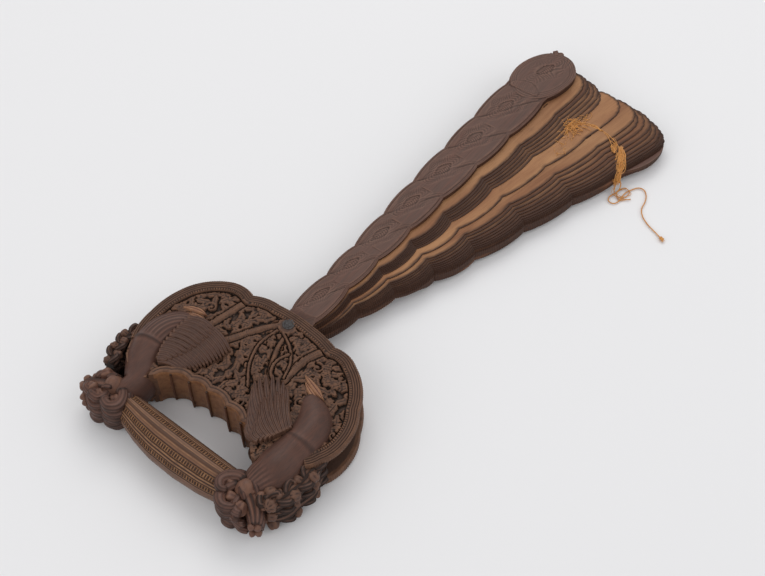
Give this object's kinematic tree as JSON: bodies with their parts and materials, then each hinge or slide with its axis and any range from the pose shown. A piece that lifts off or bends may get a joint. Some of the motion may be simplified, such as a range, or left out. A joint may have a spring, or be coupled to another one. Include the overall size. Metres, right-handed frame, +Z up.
{
  "type": "sandalwood folding fan",
  "caption": "Carved sandalwood folding fan on a rivet in a D-shaped pierced hand grip, with scalloped wooden blades, two thick guards and a loose silk thread.",
  "frame": {"origin": "on the rest plane, on the rivet's axis", "axes": "+Y along the grip's axis towards the blade tips, +X to the right seen from the front face, +Z up out of the front face"},
  "size_m": [0.179, 0.3648, 0.027],
  "materials": {
    "carved_wood": "dark waxed sandalwood, carved all over",
    "polished_wood": "hand-polished reeded sandalwood",
    "guard_wood": "dark carved sandalwood",
    "stick_wood": "plain sawn sandalwood",
    "rivet_steel": "worn steel",
    "silk_thread": "frayed silk"
  },
  "bodies": {
    "handle": {"handle_block": "carved_wood", "grip_bar": "polished_wood", "rivet_pin": "rivet_steel", "front_washer": "rivet_steel", "rear_washer": "rivet_steel"},
    "front_guard": {"front_guard": "guard_wood"},
    "rear_guard": {"rear_guard": "guard_wood", "thread_tail": "silk_thread", "thread_knot": "silk_thread"},
    "stick_01": {"stick_01": "stick_wood"},
    "stick_02": {"stick_02": "stick_wood"},
    "stick_03": {"stick_03": "stick_wood"},
    "stick_04": {"stick_04": "stick_wood"},
    "stick_05": {"stick_05": "stick_wood"},
    "stick_06": {"stick_06": "stick_wood"},
    "stick_07": {"stick_07": "stick_wood"},
    "stick_08": {"stick_08": "stick_wood"},
    "stick_09": {"stick_09": "stick_wood"},
    "stick_10": {"stick_10": "stick_wood"},
    "stick_11": {"stick_11": "stick_wood"},
    "stick_12": {"stick_12": "stick_wood"},
    "stick_13": {"stick_13": "stick_wood"},
    "stick_14": {"stick_14": "stick_wood"},
    "stick_15": {"stick_15": "stick_wood"},
    "stick_16": {"stick_16": "stick_wood"},
    "stick_17": {"stick_17": "stick_wood"},
    "stick_18": {"stick_18": "stick_wood"},
    "stick_19": {"stick_19": "stick_wood"},
    "stick_20": {"stick_20": "stick_wood"}
  },
  "joints": [
    {"name": "front_guard_turn", "type": "hinge", "parent": "handle", "child": "front_guard", "pos_m": [0, 0, 0.012], "axis": [0, 0, 1], "range_deg": [-16.5, 61.7]},
    {"name": "rear_guard_turn", "type": "hinge", "parent": "handle", "child": "rear_guard", "pos_m": [0, 0, 0.012], "axis": [0, 0, -1], "range_deg": [0, 47.8]},
    {"name": "stick_01_turn", "type": "hinge", "parent": "handle", "child": "stick_01", "pos_m": [0, 0, 0.012], "axis": [0, 0, 1], "range_deg": [-15.69, 58.55]},
    {"name": "stick_02_turn", "type": "hinge", "parent": "handle", "child": "stick_02", "pos_m": [0, 0, 0.012], "axis": [0, 0, 1], "range_deg": [-14.25, 53.15]},
    {"name": "stick_03_turn", "type": "hinge", "parent": "handle", "child": "stick_03", "pos_m": [0, 0, 0.012], "axis": [0, 0, 1], "range_deg": [-12.81, 47.75]},
    {"name": "stick_04_turn", "type": "hinge", "parent": "handle", "child": "stick_04", "pos_m": [0, 0, 0.012], "axis": [0, 0, 1], "range_deg": [-11.36, 42.35]},
    {"name": "stick_05_turn", "type": "hinge", "parent": "handle", "child": "stick_05", "pos_m": [0, 0, 0.012], "axis": [0, 0, 1], "range_deg": [-9.92, 36.95]},
    {"name": "stick_06_turn", "type": "hinge", "parent": "handle", "child": "stick_06", "pos_m": [0, 0, 0.012], "axis": [0, 0, 1], "range_deg": [-8.5, 31.65]},
    {"name": "stick_07_turn", "type": "hinge", "parent": "handle", "child": "stick_07", "pos_m": [0, 0, 0.012], "axis": [0, 0, 1], "range_deg": [-7.72, 28.75]},
    {"name": "stick_08_turn", "type": "hinge", "parent": "handle", "child": "stick_08", "pos_m": [0, 0, 0.012], "axis": [0, 0, 1], "range_deg": [-6.76, 25.15]},
    {"name": "stick_09_turn", "type": "hinge", "parent": "handle", "child": "stick_09", "pos_m": [0, 0, 0.012], "axis": [0, 0, 1], "range_deg": [-5.37, 19.95]},
    {"name": "stick_10_turn", "type": "hinge", "parent": "handle", "child": "stick_10", "pos_m": [0, 0, 0.012], "axis": [0, 0, 1], "range_deg": [-3.98, 14.75]},
    {"name": "stick_11_turn", "type": "hinge", "parent": "handle", "child": "stick_11", "pos_m": [0, 0, 0.012], "axis": [0, 0, 1], "range_deg": [-2.59, 9.55]},
    {"name": "stick_12_turn", "type": "hinge", "parent": "handle", "child": "stick_12", "pos_m": [0, 0, 0.012], "axis": [0, 0, 1], "range_deg": [-1.15, 4.15]},
    {"name": "stick_13_turn", "type": "hinge", "parent": "handle", "child": "stick_13", "pos_m": [0, 0, 0.012], "axis": [0, 0, -1], "range_deg": [-0.05, 1.35]},
    {"name": "stick_14_turn", "type": "hinge", "parent": "handle", "child": "stick_14", "pos_m": [0, 0, 0.012], "axis": [0, 0, -1], "range_deg": [-0.05, 6.85]},
    {"name": "stick_15_turn", "type": "hinge", "parent": "handle", "child": "stick_15", "pos_m": [0, 0, 0.012], "axis": [0, 0, -1], "range_deg": [-0.05, 12.45]},
    {"name": "stick_16_turn", "type": "hinge", "parent": "handle", "child": "stick_16", "pos_m": [0, 0, 0.012], "axis": [0, 0, -1], "range_deg": [-0.05, 18.2]},
    {"name": "stick_17_turn", "type": "hinge", "parent": "handle", "child": "stick_17", "pos_m": [0, 0, 0.012], "axis": [0, 0, -1], "range_deg": [-0.05, 24.05]},
    {"name": "stick_18_turn", "type": "hinge", "parent": "handle", "child": "stick_18", "pos_m": [0, 0, 0.012], "axis": [0, 0, -1], "range_deg": [-0.05, 29.95]},
    {"name": "stick_19_turn", "type": "hinge", "parent": "handle", "child": "stick_19", "pos_m": [0, 0, 0.012], "axis": [0, 0, -1], "range_deg": [-0.05, 35.85]},
    {"name": "stick_20_turn", "type": "hinge", "parent": "handle", "child": "stick_20", "pos_m": [0, 0, 0.012], "axis": [0, 0, -1], "range_deg": [-0.05, 41.8]}
  ],
  "couplings": [
    {"joint": "stick_01_turn", "follows": "front_guard_turn", "ratio": 0.94814},
    {"joint": "stick_02_turn", "follows": "front_guard_turn", "ratio": 0.86062},
    {"joint": "stick_03_turn", "follows": "front_guard_turn", "ratio": 0.7731},
    {"joint": "stick_04_turn", "follows": "front_guard_turn", "ratio": 0.68558},
    {"joint": "stick_05_turn", "follows": "front_guard_turn", "ratio": 0.59806},
    {"joint": "stick_06_turn", "follows": "front_guard_turn", "ratio": 0.51216},
    {"joint": "stick_07_turn", "follows": "front_guard_turn", "ratio": 0.46515},
    {"joint": "stick_08_turn", "follows": "front_guard_turn", "ratio": 0.40681},
    {"joint": "stick_09_turn", "follows": "front_guard_turn", "ratio": 0.32253},
    {"joint": "stick_10_turn", "follows": "front_guard_turn", "ratio": 0.23825},
    {"joint": "stick_11_turn", "follows": "front_guard_turn", "ratio": 0.15397},
    {"joint": "stick_12_turn", "follows": "front_guard_turn", "ratio": 0.06645},
    {"joint": "stick_13_turn", "follows": "rear_guard_turn", "ratio": 0.0272},
    {"joint": "stick_14_turn", "follows": "rear_guard_turn", "ratio": 0.14226},
    {"joint": "stick_15_turn", "follows": "rear_guard_turn", "ratio": 0.25941},
    {"joint": "stick_16_turn", "follows": "rear_guard_turn", "ratio": 0.37971},
    {"joint": "stick_17_turn", "follows": "rear_guard_turn", "ratio": 0.50209},
    {"joint": "stick_18_turn", "follows": "rear_guard_turn", "ratio": 0.62552},
    {"joint": "stick_19_turn", "follows": "rear_guard_turn", "ratio": 0.74895},
    {"joint": "stick_20_turn", "follows": "rear_guard_turn", "ratio": 0.87343}
  ]
}
